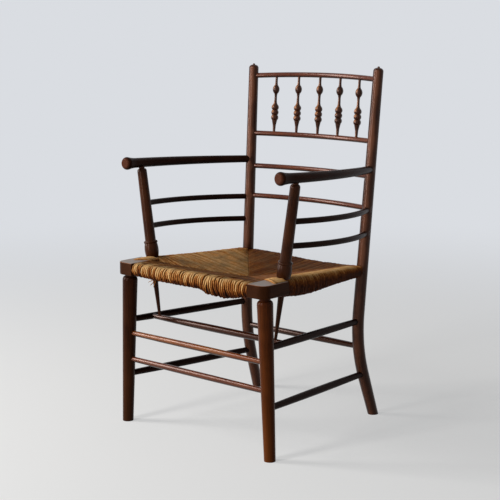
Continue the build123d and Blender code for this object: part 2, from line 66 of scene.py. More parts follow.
# Lamps, all aimed at the middle of the chair: the name, place, width, height and watts of each
LAMP_AIM = (0.0, 0.0, 0.45)
LAMPS = (
    ("front_lamp", (-0.5, -2.9, 1.5), 0.6, 2.4, 52.0),
    ("side_lamp", (-2.35, -1.75, 1.6), 0.8, 2.4, 66.0),
)

# Stained wood, in millimetres. Real beech has finer grain: this is as coarse as it needs to show
GRAIN_WIDTH, GRAIN_LENGTH = 1.5, 60.0
GRAIN_RELIEF = 0.1
WEAR_SIZE = 70.0
DULLER, SHINIER = 0.06, 0.04
# Unevenness of the wear and of the painted highlights and shade that go by the way a face looks
WEAR_AND_LIGHT_UNEVEN = 0.5
FOOT_WEAR_TOP = 300.0
FOOT_WEAR = 0.45
WAX_TINT = "#E6C0B0"
WOOD_IOR = 1.5

# Ways that a face can look, for wear and for painted light, and the painted shade under a rail or an arm
UP, DOWN, FORWARD = (0, 0, 1), (0, 0, -1), (0, -1, 0)
# Way that the painted highlight down each back post faces
POST_HIGHLIGHT_FACING = (0.33, -0.94, 0)
# Way that the painted glint on each spindle bead faces
BEAD_GLINT_FACING = (-0.22, -0.87, 0.44)
PAINTED_SHADE_BELOW = (DOWN, 0.0, 0.6, 0.85, "#100705")

# Rush and its packing: pattern sizes and reliefs in millimetres, and colours from shade to light
FLECK_SIZE, SOIL_SIZE, CHAFF_SIZE = 7.0, 30.0, 5.0
LEAF_SHARE, FLECK_SHARE, SOIL_SHARE = 0.14, 0.4, 0.3
LEAF_RELIEF, CHAFF_RELIEF = 0.5, 1.0
STRAW = ((0.3, "#140A05"), (0.5, "#50260F"), (0.68, "#86491A"), (0.86, "#C08040"), (1.0, "#E0B478"))
# Packing colours, near black as painted shade in the gaps between the cords
SHADED_CHAFF = ((0.35, "#170E08"), (0.7, "#3A2614"))
GRIME = "#684E36"
GRIME_MOST = 1.8
RUSH_IOR = 1.45
RUSH_SHINE = 0.08
RUSH_ROUGHNESS, CHAFF_ROUGHNESS = 0.62, 0.85

# Map of a cord, per millimetre along it and per turn round it: leaf edges come about 3 mm apart,
# and the map of each cord starts at a chance place up to the last value
LEAF_ALONG, LEAF_AROUND = 0.22, 0.9
LEAF_START = 50

# Plan and heights of the seat, in millimetres in the chair's own frame
CENTRE = (0.0, -31.0)
FRONT_CORNER = (180.5, -161.0)
BACK_CORNER = (167.7, 156.4)
CENTRE_TOP, CENTRE_LOW = 357.0, 335.0
FRONT_CORNER_TOP, FRONT_CORNER_LOW = 393.0, 360.0
BACK_CORNER_TOP, BACK_CORNER_LOW = 378.0, 348.0
SAG_BEND = 0.75

# Axes of the seat rails, and of the shanks of the arm supports that pass through the seat
FRONT_RAIL_Y, FRONT_RAIL_Z = -222.5, 380.0
BACK_RAIL_Y, BACK_RAIL_Z = 171.9, 358.0
SIDE_RAIL_START, SIDE_RAIL_LENGTH = -161.0, 333.5
SIDE_RAIL_X, SIDE_RAIL_DRAWN_IN = 203.0, 20.3
SIDE_RAIL_Z, SIDE_RAIL_FALL = 380.0, 14.0
SHANK_X, SHANK_Y, SHANK_Z = 182.5, -149.0, 250.0
SHANK_SPREAD, SHANK_RISE = 54.0, 373.0
SHANK_CLEAR = 9.8

# Section of a panel, from the seam over the rail and back below: millimetres, and shares of the way
SEAM_LAP = 3.5
SEAM_DIVE, LOW_SEAM_DIVE = 2.5, 2.0
SEAM_LIP, SEAM_CROWN = 3.0, 1.2
PANEL_RISE, RISE_SPAN = 0.8, 150.0
SHELF_REACH, SHELF_FALL = 0.12, 0.16
HEEL = 15.0
CREST_REACH, CREST_RISE = 0.3, 0.4
NOSE = 6.0
NOSE_RADIUS = 15.0
SIDE_TAPER = ((-161, 1.0), (60, 1.0), (155, 0.64))
LOW_HEEL, LOW_HEEL_RISE = 4.0, 1.0
LOW_REACH, LOW_DEPTH = 0.6, 0.3

# Parts of a cord round the rail: those on the nose with their angle above level, and all of them
NOSE_PARTS = ((70, "edge"), (35, "shoulder"), (0, "face"), (-40, "under"), (-78, "under"))
ROUND_PARTS = ("crest", "edge", "shoulder", "face", "under")

# Make of a cord: its sides, the painted shade of its grooves, its least radius and the reach that closes an
# end
CORD_SIDES = 6
GROOVE_PAINTED_SHADE = 0.46
LEAST_RADIUS = 0.1
WELD = 0.02

# Tone from cord to cord: in bands, by chance, by panel, and darker at the rear of the side panels as painted
# shade where they meet the posts
BAND_RATE, BAND_SEED = 0.23, 3.1
BAND_TONE, CORD_TONE = 0.06, 0.16
BAND_GRIME = 0.3
TONE_SPREAD = {"front": 1.5, "back": 1.0, "left": 1.0, "right": 0.5}
FLAT_TONE = 0.5
REAR_PAINTED_SHADE = ((110, 0.0), (150, 0.22))

# Lean of the cords round the rail, in millimetres, with less room for it near a panel's ends
LEAN_RATE, LEAN_SEED = 0.31, 7.7
LEAN_MEAN, LEAN_WANDER = 0.6, 1.5
LEAN_SPREAD = {"front": 5.6, "back": 3.0, "left": 3.0, "right": 3.0}
LEAN_HEIGHT, LEAN_PIVOT = 40, 0.4
EDGE_CORDS = 4

# Unevenness of the cords, in millimetres: drift on the flat, swell, and width as a share
DRIFT = 1.6
DRIFT_RATE, DRIFT_STEP, DRIFT_SEED = 0.4, 2.0, 5.0
SWELL_CHANCE, SWELL_WANDER, SWELL_OUTWARD = 0.4, 0.5, 0.6
SWELL_RATE, SWELL_STEP, SWELL_SEED = 0.17, 0.8, 11.0
CORD_WIDTHS = (0.88, 1.12)

# Worn hollow behind the front roll: where it lies along the rail, the painted shade in it, and its depth
WORN_FROM, WORN_TO = 95.0, 170.0
WORN_HOLLOW_SHADE, WORN_SINK = 0.2, 1.6

# Core that the cords lie on: loops in each half of a panel, and its depth in cord radii
CORE_LOOPS = 7
CORE_DEPTH = 2.1

# Frayed strands under the front roll: where each starts, and how far it strays and drops
FRAYS = ((-121.0, -22.0, 8.0), (-119.0, -17.0, 15.0), (-117.0, -8.0, 18.0))
FRAY_Y, FRAY_Z = -224.0, 366.0
FRAY_BEND, FRAY_FORWARD, FRAY_SINK = 1.5, 2.0, 5.0
FRAY_TAPER = ((0.0, 0.0), (0.2, 1.0), (0.6, 0.95), (0.9, 0.8), (1.0, 0.0))
FRAY_TONE, FRAY_GRIME = 0.45, 0.3

# Cords over a corner pad: the line that they start from, the line where they end, and their forms
PAD_CORDS = 10
PAD_TOP = 394.0
PAD_INNER_X, PAD_INNER_Y, PAD_INNER_RUN = 177.5, -180.0, 22.0
PAD_OUTER_X = {"right": 228.0, "left": -214.0}
PAD_OUTER_Y, PAD_OUTER_RUN = -203.0, 36.0
PAD_DRIFT, PAD_SWELL = 0.8, 0.3
PAD_TONES = (0.56, 0.8)
PAD_GRIME = 0.08
# Each point of a pad's cord: its share of the way, its height over the pad and its radius
PAD_CORD = (
    (0.0, -4.0, 0.0), (0.06, 1.0, 2.2), (0.35, 3.4, 2.6),
    (0.7, 3.2, 2.6), (0.95, 1.4, 2.4), (1.0, -3.5, 0.0),
)

# How light each part of a cord is, and how much grime lies on it. Besides the rush's own tone, the lightness
# holds
# painted light and shade: the crest and top edge of each roll are lighter, partly worn and partly as if lit
# from above, its face and underside darker as painted shade, the right roll's outer face darker still as in
# shade, and the cords beneath the rails near black as painted shade.
TONES_AND_PAINTED_LIGHT = {
    "front": {
        "seam": (0.4, 0.15), "panel": (0.48, 0.25), "shelf": (0.44, 0.3),
        "crest": (0.6, 0.45), "edge": (0.84, 0.05), "shoulder": (0.62, 0.0),
        "face": (0.5, 0.0), "under": (0.22, 0.0), "beneath": (0.0, 0.1),
    },
    "back": {
        "seam": (0.38, 0.3), "panel": (0.36, 0.35), "shelf": (0.36, 0.35),
        "crest": (0.4, 0.0), "edge": (0.4, 0.0), "shoulder": (0.28, 0.0),
        "face": (0.26, 0.0), "under": (0.14, 0.0), "beneath": (0.0, 0.1),
    },
    "right": {
        "seam": (0.34, 0.3), "panel": (0.32, 0.35), "shelf": (0.34, 0.3),
        "crest": (0.7, 0.0), "edge": (0.7, 0.0), "shoulder": (0.48, 0.0),
        "face": (0.2, 0.0), "under": (0.1, 0.0), "beneath": (0.0, 0.1),
    },
    "left": {
        "seam": (0.52, 0.3), "panel": (0.6, 0.35), "shelf": (0.6, 0.35),
        "crest": (0.6, 0.1), "edge": (0.6, 0.1), "shoulder": (0.4, 0.0),
        "face": (0.34, 0.0), "under": (0.14, 0.0), "beneath": (0.0, 0.1),
    },
}

# Sockets of a Mix node that mixes two colours
FIRST, SECOND, MIXED = 6, 7, 2


def linear(hex_colour):
    """Linear RGBA of an sRGB hex colour."""
    channels = [int(hex_colour[at:at + 2], 16) / 255 for at in (1, 3, 5)]
    return [c / 12.92 if c <= 0.04045 else ((c + 0.055) / 1.055) ** 2.4 for c in channels] + [1.0]


def add(tree, kind, inputs=None, stops=None, **settings):
    """Adds a shader node: its settings, its colour stops, and a value or a link for each input."""
    made = tree.nodes.new(kind)
    for name, value in settings.items():
        setattr(made, name, value)
    for number, (place, colour) in enumerate(stops or ()):
        ramp = made.color_ramp.elements
        stop = ramp[number] if number < len(ramp) else ramp.new(place)
        stop.position, stop.color = place, linear(colour)
    for name, value in (inputs or {}).items():
        if isinstance(value, bpy.types.NodeSocket):
            tree.links.new(value, made.inputs[name])
        else:
            made.inputs[name].default_value = value
    return made


def new_material(name):
    """An empty node material, its tree, and its Principled shader linked to the output."""
    material = bpy.data.materials.new(name)
    material.use_nodes = True
    tree = material.node_tree
    tree.nodes.clear()
    shader = add(tree, "ShaderNodeBsdfPrincipled")
    add(tree, "ShaderNodeOutputMaterial", {"Surface": shader.outputs["BSDF"]})
    return material, tree, shader


def stained_wood(name, along, dark, brown, worn, wear, roughness, wax, wear_and_painted_light=(), bare_foot=None):
    """Turned beech, stained and waxed: dark streaks along the turning axis, and rubbed paler where
    hands and feet have worn the stain through. wax is how strongly the polish shines.
    Each mark by facing is a way that a face looks, where it starts and is full, its share and colour: some
    marks are wear, and some are painted highlights, glints and shade. bare_foot is a colour worn in towards
    the floor."""
    material, tree, shader = new_material(name)
    here = add(tree, "ShaderNodeTexCoord").outputs
    streak = [1 / (GRAIN_WIDTH * MM)] * 3
    streak["xyz".index(along)] = 1 / (GRAIN_LENGTH * MM)
    stretched = add(tree, "ShaderNodeMapping", {"Vector": here["Object"], "Scale": streak}).outputs["Vector"]
    grain = add(
        tree, "ShaderNodeTexNoise", {"Vector": stretched, "Scale": 1.0, "Detail": 4.0, "Roughness": 0.6}
    ).outputs["Fac"]
    patches = add(
        tree, "ShaderNodeTexNoise", {"Vector": here["Object"], "Scale": 1 / (WEAR_SIZE * MM), "Detail": 4.0}
    ).outputs["Fac"]
    colour = add(
        tree, "ShaderNodeValToRGB", {"Fac": grain}, stops=((0.32, dark), (0.68, brown))
    ).outputs["Color"]
    rubbed = add(
        tree, "ShaderNodeMapRange", {"Value": patches, "From Min": 0.4, "From Max": 0.75, "To Max": wear}
    ).outputs["Result"]
    colour = add(
        tree, "ShaderNodeMix", {"Factor": rubbed, FIRST: colour, SECOND: linear(worn)}, data_type="RGBA"
    ).outputs[MIXED]
    # Wear, and painted highlights, glints and shade, by the way a face looks
    for toward, start, full, share, tint in wear_and_painted_light:
        looks = add(
            tree, "ShaderNodeVectorMath", {0: here["Normal"], 1: toward}, operation="DOT_PRODUCT"
        ).outputs["Value"]
        uneven = add(
            tree, "ShaderNodeMath", {0: patches, 1: WEAR_AND_LIGHT_UNEVEN, 2: looks}, operation="MULTIPLY_ADD"
        ).outputs["Value"]
        shift = WEAR_AND_LIGHT_UNEVEN / 2
        wear_and_light_share = add(
            tree,
            "ShaderNodeMapRange",
            {"Value": uneven, "From Min": start + shift, "From Max": full + shift, "To Max": share},
        ).outputs["Result"]
        colour = add(
            tree, "ShaderNodeMix", {"Factor": wear_and_light_share, FIRST: colour, SECOND: linear(tint)}, data_type="RGBA"
        ).outputs[MIXED]
    if bare_foot:
        height = add(tree, "ShaderNodeSeparateXYZ", {"Vector": here["Object"]}).outputs["Z"]
        low = add(
            tree,
            "ShaderNodeMapRange",
            {"Value": height, "From Min": FOOT_WEAR_TOP * MM, "From Max": 0.0, "To Max": FOOT_WEAR},
        ).outputs["Result"]
        colour = add(
            tree, "ShaderNodeMix", {"Factor": low, FIRST: colour, SECOND: linear(bare_foot)}, data_type="RGBA"
        ).outputs[MIXED]
    tree.links.new(colour, shader.inputs["Base Color"])
    polish = add(
        tree,
        "ShaderNodeMapRange",
        {
            "Value": grain,
            "From Min": 0.3,
            "From Max": 0.7,
            "To Min": roughness + DULLER,
            "To Max": roughness - SHINIER,
        },
    ).outputs["Result"]
    tree.links.new(polish, shader.inputs["Roughness"])
    relief = add(
        tree, "ShaderNodeBump", {"Height": grain, "Strength": 0.08, "Distance": GRAIN_RELIEF * MM}
    ).outputs["Normal"]
    tree.links.new(relief, shader.inputs["Normal"])
    shader.inputs["IOR"].default_value = WOOD_IOR
    shader.inputs["Specular IOR Level"].default_value = wax
    shader.inputs["Specular Tint"].default_value = linear(WAX_TINT)
    return material


def twisted_rush(name):
    """Dried rush twisted into cord: straw to brown from cord to cord, with fine slanting leaf
    edges, dull, painted darker between the cords as their shade, and soiled with grime in patches."""
    material, tree, shader = new_material(name)
    place = add(tree, "ShaderNodeTexCoord").outputs["Object"]
    # The shade attribute holds the rush's own tone together with painted light and shade
    shade = add(tree, "ShaderNodeAttribute", attribute_name="shade").outputs["Fac"]
    grime = add(tree, "ShaderNodeAttribute", attribute_name="grime").outputs["Fac"]
    lay = add(tree, "ShaderNodeUVMap", uv_map="lay").outputs["UV"]
    leaf = add(
        tree,
        "ShaderNodeTexWave",
        {"Vector": lay, "Scale": 1.0, "Distortion": 1.5, "Detail": 2.0, "Detail Scale": 2.0},
        bands_direction="DIAGONAL",
    ).outputs["Fac"]
    fleck = add(
        tree,
        "ShaderNodeTexNoise",
        {"Vector": place, "Scale": 1 / (FLECK_SIZE * MM), "Detail": 4.0, "Roughness": 0.65},
    ).outputs["Fac"]
    soil = add(
        tree, "ShaderNodeTexNoise", {"Vector": place, "Scale": 1 / (SOIL_SIZE * MM), "Detail": 3.0}
    ).outputs["Fac"]
    tone = shade
    for pattern, share in ((leaf, LEAF_SHARE), (fleck, FLECK_SHARE), (soil, SOIL_SHARE)):
        tone = add(
            tree, "ShaderNodeMath", {0: pattern, 1: share, 2: tone}, operation="MULTIPLY_ADD"
        ).outputs["Value"]
    straw = add(tree, "ShaderNodeValToRGB", {"Fac": tone}, stops=STRAW).outputs["Color"]
    patches = add(
        tree, "ShaderNodeMapRange", {"Value": soil, "From Min": 0.36, "From Max": 0.64, "To Max": GRIME_MOST}
    ).outputs["Result"]
    smeared = add(tree, "ShaderNodeMath", {0: grime, 1: patches}, operation="MULTIPLY").outputs["Value"]
    colour = add(
        tree, "ShaderNodeMix", {"Factor": smeared, FIRST: straw, SECOND: linear(GRIME)}, data_type="RGBA"
    ).outputs[MIXED]
    tree.links.new(colour, shader.inputs["Base Color"])
    relief = add(
        tree, "ShaderNodeBump", {"Height": leaf, "Strength": 0.5, "Distance": LEAF_RELIEF * MM}
    ).outputs["Normal"]
    tree.links.new(relief, shader.inputs["Normal"])
    shader.inputs["Roughness"].default_value = RUSH_ROUGHNESS
    shader.inputs["IOR"].default_value = RUSH_IOR
    shader.inputs["Specular IOR Level"].default_value = RUSH_SHINE
    return material


def packed_rush(name):
    """Broken rush packed between the layers: dull, dark and brown, its darkness painted shade for the gaps
    between the cords, where alone it is seen.
    """
    material, tree, shader = new_material(name)
    place = add(tree, "ShaderNodeTexCoord").outputs["Object"]
    chaff = add(
        tree, "ShaderNodeTexNoise", {"Vector": place, "Scale": 1 / (CHAFF_SIZE * MM), "Detail": 5.0}
    ).outputs["Fac"]
    colour = add(tree, "ShaderNodeValToRGB", {"Fac": chaff}, stops=SHADED_CHAFF).outputs["Color"]
    tree.links.new(colour, shader.inputs["Base Color"])
    relief = add(
        tree, "ShaderNodeBump", {"Height": chaff, "Strength": 0.6, "Distance": CHAFF_RELIEF * MM}
    ).outputs["Normal"]
    tree.links.new(relief, shader.inputs["Normal"])
    shader.inputs["Roughness"].default_value = CHAFF_ROUGHNESS
    return material


def seen_rays(tree):
    """1 for what the camera sees, straight or in a shiny or clear surface, and 0 for other light."""
    path = add(tree, "ShaderNodeLightPath").outputs
    shiny = add(
        tree, "ShaderNodeMath", {0: path["Is Camera Ray"], 1: path["Is Glossy Ray"]}, operation="ADD"
    ).outputs["Value"]
    return add(
        tree, "ShaderNodeMath", {0: shiny, 1: path["Is Transmission Ray"]}, operation="ADD", use_clamp=True
    ).outputs["Value"]


def matt_floor(name):
    """Pale matt studio floor that fades into the backdrop, so no horizon shows. It is pale where it
    is seen, and browner in the light that it throws back on the chair."""
    material, tree, shader = new_material(name)
    seen = seen_rays(tree)
    plain = add(
        tree,
        "ShaderNodeMix",
        {"Factor": seen, FIRST: linear(FLOOR_BOUNCE), SECOND: linear(FLOOR)},
        data_type="RGBA",
    ).outputs[MIXED]
    tree.links.new(plain, shader.inputs["Base Color"])
    shader.inputs["Roughness"].default_value = FLOOR_ROUGHNESS
    place = add(tree, "ShaderNodeTexCoord").outputs["Object"]
    from_chair = add(tree, "ShaderNodeVectorMath", {0: place}, operation="LENGTH").outputs["Value"]
    fade = add(
        tree,
        "ShaderNodeMapRange",
        {"Value": from_chair, "From Min": FADE_START, "From Max": FADE_END},
        interpolation_type="SMOOTHSTEP",
    ).outputs["Result"]
    lifted = add(tree, "ShaderNodeMath", {0: seen, 1: FLOOR_GLOW}, operation="MULTIPLY").outputs["Value"]
    pale = add(tree, "ShaderNodeEmission", {"Color": linear(FLOOR_LIFT), "Strength": 1.0}).outputs["Emission"]
    near = add(tree, "ShaderNodeMixShader", {0: lifted, 1: shader.outputs["BSDF"], 2: pale}).outputs["Shader"]
    far = add(tree, "ShaderNodeEmission", {"Color": linear(BACKDROP), "Strength": 1.0}).outputs["Emission"]
    faded = add(tree, "ShaderNodeMixShader", {0: fade, 1: near, 2: far}).outputs["Shader"]
    tree.links.new(faded, tree.nodes["Material Output"].inputs["Surface"])
    return material


def between(table, at):
    """Value at a place in a table of rising places and values."""
    for (place, value), (next_place, next_value) in zip(table, table[1:]):
        if at <= next_place:
            share = (at - place) / (next_place - place)
            return value + (next_value - value) * max(0.0, share)
    return table[-1][1]


def wander(*seed):
    """Smooth noise between -1 and 1."""
    return noise.noise(Vector(seed))


class Panel:
    """One panel of the seat: a cord for each place along its rail, over the rail and back to the seam."""

    def __init__(self, name, start, stop, rail, inward, top, low, slant, pitch, radius):
        self.name = name
        self.across = name in ("front", "back")
        self.start, self.stop = start, stop
        self.rail = rail
        self.inward = Vector(inward)
        self.top, self.low = top, low
        self.slant = slant
        self.pitch, self.radius = pitch, radius
        self.rail_way = Vector((1, 0, 0)) if self.across else Vector((0, 1, 0))

    def seam(self, at):
        """Where a cord meets the seam: its distance from the rail, and its heights there."""
        rail = self.rail(at)
        fore = (self.name == "front") if self.across else (at < CENTRE[1])
        corner = FRONT_CORNER if fore else BACK_CORNER
        if self.across:
            share = 1 - abs(at) / corner[0]
            end_y = corner[1] + (CENTRE[1] - corner[1]) * share
            reach = abs(end_y - rail.y)
        else:
            share = 1 - (at - CENTRE[1]) / (corner[1] - CENTRE[1])
            reach = abs(rail.x) - corner[0] * (1 - share)
        corner_top = FRONT_CORNER_TOP if fore else BACK_CORNER_TOP
        corner_low = FRONT_CORNER_LOW if fore else BACK_CORNER_LOW
        sunk = max(0.0, share) ** SAG_BEND
        high = corner_top + (CENTRE_TOP - corner_top) * sunk
        low = corner_low + (CENTRE_LOW - corner_low) * sunk
        return reach, high, low

    def section(self, at, depth):
        """Points round the panel at one place along the rail, depth inside its outer face, each with
        a name for the part of the panel that it is on."""
        reach, seam_high, seam_low = self.seam(at)
        rail = self.rail(at)
        flat = reach - HEEL
        top, low = between(self.top, at) - depth, between(self.low, at) + depth
        middle, half = (top + low) / 2, (top - low) / 2
        belly = NOSE_RADIUS - depth
        if not self.across:
            belly *= between(SIDE_TAPER, at)
        rise = PANEL_RISE * math.sin(math.pi * min(1.0, reach / RISE_SPAN))
        # Each point here is a distance inwards from the rail, a height and a part
        points = [
            (reach + SEAM_LAP, seam_high - depth - SEAM_DIVE, "seam"),
            (reach - SEAM_LIP, seam_high - depth + SEAM_CROWN, "panel"),
            (HEEL + flat / 2, (seam_high + top) / 2 + rise - depth / 2, "panel"),
            (HEEL + flat * SHELF_REACH, top - (top - seam_high) * SHELF_FALL + rise / 2, "shelf"),
            (HEEL * CREST_REACH, top + CREST_RISE, "crest"),
        ]
        for degrees, part in NOSE_PARTS:
            turn = math.radians(degrees)
            points.append((-NOSE - belly * math.cos(turn), middle + half * math.sin(turn), part))
        points += [
            (HEEL + LOW_HEEL, low + LOW_HEEL_RISE, "beneath"),
            (HEEL + flat * LOW_REACH, (low + 2 * seam_low) / 3 + depth * LOW_DEPTH, "beneath"),
            (reach + SEAM_LAP, seam_low + depth + LOW_SEAM_DIVE, "seam"),
        ]
        return [
            (rail + self.inward * inwards + Vector((0, 0, height - rail.z)), part)
            for inwards, height, part in points
        ]


def front_rail(at):
    """Point on the axis of the front seat rail, at an x."""
    return Vector((at, FRONT_RAIL_Y, FRONT_RAIL_Z))


def back_rail(at):
    """Point on the axis of the back seat rail, at an x."""
    return Vector((at, BACK_RAIL_Y, BACK_RAIL_Z))


def right_rail(at):
    """Point on the axis of the right seat rail, at a y. It falls and draws in towards the rear."""
    share = (at - SIDE_RAIL_START) / SIDE_RAIL_LENGTH
    return Vector((SIDE_RAIL_X - SIDE_RAIL_DRAWN_IN * share, at, SIDE_RAIL_Z - SIDE_RAIL_FALL * share))


def left_rail(at):
    """Point on the axis of the left seat rail, at a y: the right one, mirrored."""
    axis = right_rail(at)
    return Vector((-axis.x, axis.y, axis.z))


# The four panels. top and low are the heights of the roll's crest and underside along the rail, and
# slant, pitch and radius are the lean, spacing and radius of its cords
PANELS = (
    Panel(
        "front",
        start=-177.8,
        stop=177.8,
        rail=front_rail,
        inward=(0, 1, 0),
        top=((-180, 395.0), (0, 396.0), (180, 395.5)),
        low=((-180, 363.5), (-93, 360.5), (30, 360.5), (55, 351), (100, 349), (140, 356), (180, 363.5)),
        slant=9.0,
        pitch=6.0,
        radius=2.45,
    ),
    Panel(
        "back",
        start=-165.2,
        stop=165.2,
        rail=back_rail,
        inward=(0, -1, 0),
        top=((-165, 378.5), (-90, 377.5), (-40, 374.5), (0, 372.0), (60, 371.5), (165, 374.0)),
        low=((-165, 343.5), (165, 343.5)),
        slant=3.0,
        pitch=5.0,
        radius=2.35,
    ),
    Panel(
        "right",
        start=-158.0,
        stop=153.6,
        rail=right_rail,
        inward=(-1, 0, 0),
        top=(
            (-161, 397.5), (-130, 398.0), (-79, 395.0), (-21, 391.5),
            (40, 388.0), (119, 383.5), (155, 379.5),
        ),
        low=((-161, 356), (-98, 349), (-52, 347.5), (-4, 349.5), (40, 352), (155, 354)),
        slant=5.0,
        pitch=5.0,
        radius=2.35,
    ),
    Panel(
        "left",
        start=-158.0,
        stop=153.6,
        rail=left_rail,
        inward=(1, 0, 0),
        top=((-161, 397.5), (-117, 395.5), (-68, 392.5), (-8, 389.0), (50, 386.5), (155, 382.5)),
        low=((-161, 361), (-60, 357), (40, 355), (155, 352)),
        slant=5.0,
        pitch=5.0,
        radius=2.35,
    ),
)


def clear_of_shank(point):
    """The point, moved aside where it would lie inside an arm support's shank."""
    side = math.copysign(1, point.x)
    middle_x = side * (SHANK_X + SHANK_SPREAD * (point.z - SHANK_Z) / SHANK_RISE)
    off = Vector((point.x - middle_x, point.y - SHANK_Y, 0))
    if off.length < SHANK_CLEAR:
        point = point + Vector((0, math.copysign(SHANK_CLEAR - off.length, off.y), 0))
    return point


def cord_mesh(name, cords, rail_way):
    """One mesh of many cords. A cord is a list of points, radii, shades and grimes, in millimetres.
    The sides that face along the rail, where cords lie against each other, are painted darker as the shade
    between the cords."""
    curve = bpy.data.curves.new(name, "CURVE")
    curve.dimensions = "3D"
    curve.fill_mode = "FULL"
    curve.bevel_mode = "ROUND"
    curve.bevel_depth = MM
    # A round bevel has 4 sides, and 2 more for each step of its resolution
    curve.bevel_resolution = (CORD_SIDES - 4) // 2
    for cord in cords:
        spline = curve.splines.new("POLY")
        spline.points.add(len(cord) - 1)
        for knot, (place, radius, _, _) in zip(spline.points, cord):
            knot.co = (*(place * MM), 1.0)
            knot.radius = radius
    wound = bpy.data.objects.new(name, curve)
    scene.collection.objects.link(wound)
    bpy.context.view_layer.update()
    mesh = bpy.data.meshes.new_from_object(wound.evaluated_get(bpy.context.evaluated_depsgraph_get()))
    bpy.data.objects.remove(wound)
    bpy.data.curves.remove(curve)
    mesh.name = name

    # Shade and grime of each vertex, and its way along the cord
    shade, grime, along = [], [], []
    for cord in cords:
        run = chance.uniform(0, LEAF_START)
        before = cord[0][0]
        for place, radius, tone, dirt in cord:
            run += (place - before).length
            before = place
            for vertex in mesh.vertices[len(shade):len(shade) + CORD_SIDES]:
                # Painted shade: each cord darkens towards the flanks where it lies against its neighbours
                flank = abs((vertex.co / MM - place).dot(rail_way)) / max(radius, LEAST_RADIUS)
                shade.append(max(0.0, tone - GROOVE_PAINTED_SHADE * (1 - dirt) * flank * flank))
            grime += [dirt] * CORD_SIDES
            along += [run] * CORD_SIDES
    mesh.attributes.new("shade", "FLOAT", "POINT").data.foreach_set("value", shade)
    mesh.attributes.new("grime", "FLOAT", "POINT").data.foreach_set("value", grime)

    # Map that the leaf edges follow: along the cord, and round it
    lay = mesh.uv_layers.new(name="lay")
    for polygon in mesh.polygons:
        rounds = [mesh.loops[loop].vertex_index % CORD_SIDES for loop in polygon.loop_indices]
        wraps = max(rounds) - min(rounds) > 1
        for loop, ring in zip(polygon.loop_indices, rounds):
            turn = ring + CORD_SIDES if wraps and ring == 0 else ring
            vertex = mesh.loops[loop].vertex_index
            lay.data[loop].uv = (along[vertex] * LEAF_ALONG, turn / CORD_SIDES * LEAF_AROUND)

    # Ends closed to a point
    shaped = bmesh.new()
    shaped.from_mesh(mesh)
    bmesh.ops.remove_doubles(shaped, verts=shaped.verts, dist=WELD * MM)
    bmesh.ops.recalc_face_normals(shaped, faces=shaped.faces)
    shaped.to_mesh(mesh)
    shaped.free()
    mesh.shade_smooth()
    return mesh


def panel_cords(panel):
    """The wound cords of one panel, each a little uneven in tone, lean, place and width."""
    count = round((panel.stop - panel.start) / panel.pitch) + 1
    seed = len(panel.name)
    cords = []
    for number in range(count):
        at = panel.start + (panel.stop - panel.start) * number / (count - 1)
        band = wander(number * BAND_RATE, seed, BAND_SEED)
        tone = (BAND_TONE * band + chance.uniform(-CORD_TONE, CORD_TONE)) * TONE_SPREAD[panel.name]
        # Painted shade at the rear of the side panels, where they meet the posts
        if not panel.across:
            tone -= between(REAR_PAINTED_SHADE, at)
        lean = panel.slant * (LEAN_MEAN + LEAN_WANDER * wander(number * LEAN_RATE, LEAN_SEED, seed))
        lean += chance.uniform(-1, 1) * LEAN_SPREAD[panel.name]
        width = panel.radius * chance.uniform(*CORD_WIDTHS)
        edge_room = min(1.0, min(number, count - 1 - number) / EDGE_CORDS)
        section = panel.section(at, panel.radius)
        cord = []
        for step, (point, part) in enumerate(section):
            shade, dirt = TONES_AND_PAINTED_LIGHT[panel.name][part]
            if part in ROUND_PARTS:
                share = (between(panel.top, at) - point.z) / LEAN_HEIGHT - LEAN_PIVOT
                point = point + panel.rail_way * lean * share * edge_room
            # Painted shade in the worn hollow behind the front roll
            if panel.name == "front" and part == "shelf" and WORN_FROM < at < WORN_TO:
                shade -= WORN_HOLLOW_SHADE
                point = point - Vector((0, 0, WORN_SINK))
            if part in ("panel", "shelf"):
                drift = wander(number * DRIFT_RATE, step * DRIFT_STEP, DRIFT_SEED)
                point = point + panel.rail_way * DRIFT * drift * edge_room
            swell = chance.uniform(-SWELL_CHANCE, SWELL_CHANCE)
            swell += SWELL_WANDER * wander(number * SWELL_RATE, step * SWELL_STEP, SWELL_SEED)
            ends = step in (0, len(section) - 1)
            if part == "face":
                point = point - panel.inward * (swell * SWELL_OUTWARD)
            elif not ends:
                point = point + Vector((0, 0, swell))
            cord.append((
                clear_of_shank(point),
                0.0 if ends else width,
                max(0.0, shade + tone * (1.0 if part in ROUND_PARTS else FLAT_TONE)),
                min(1.0, max(0.0, dirt + BAND_GRIME * dirt * band)),
            ))
        cords.append(cord)
    return cords


def frayed_ends():
    """Short broken strands that hang under the front roll, near its left end."""
    strands = []
    for start_x, stray, drop in FRAYS:
        root = Vector((start_x, FRAY_Y, FRAY_Z))
        strand = []
        for share, radius in FRAY_TAPER:
            aside = stray * share ** FRAY_BEND
            down = -FRAY_SINK * share - drop * share
            point = root + Vector((aside, -FRAY_FORWARD * share, down))
            strand.append((point, radius, FRAY_TONE, FRAY_GRIME))
        strands.append(strand)
    return strands


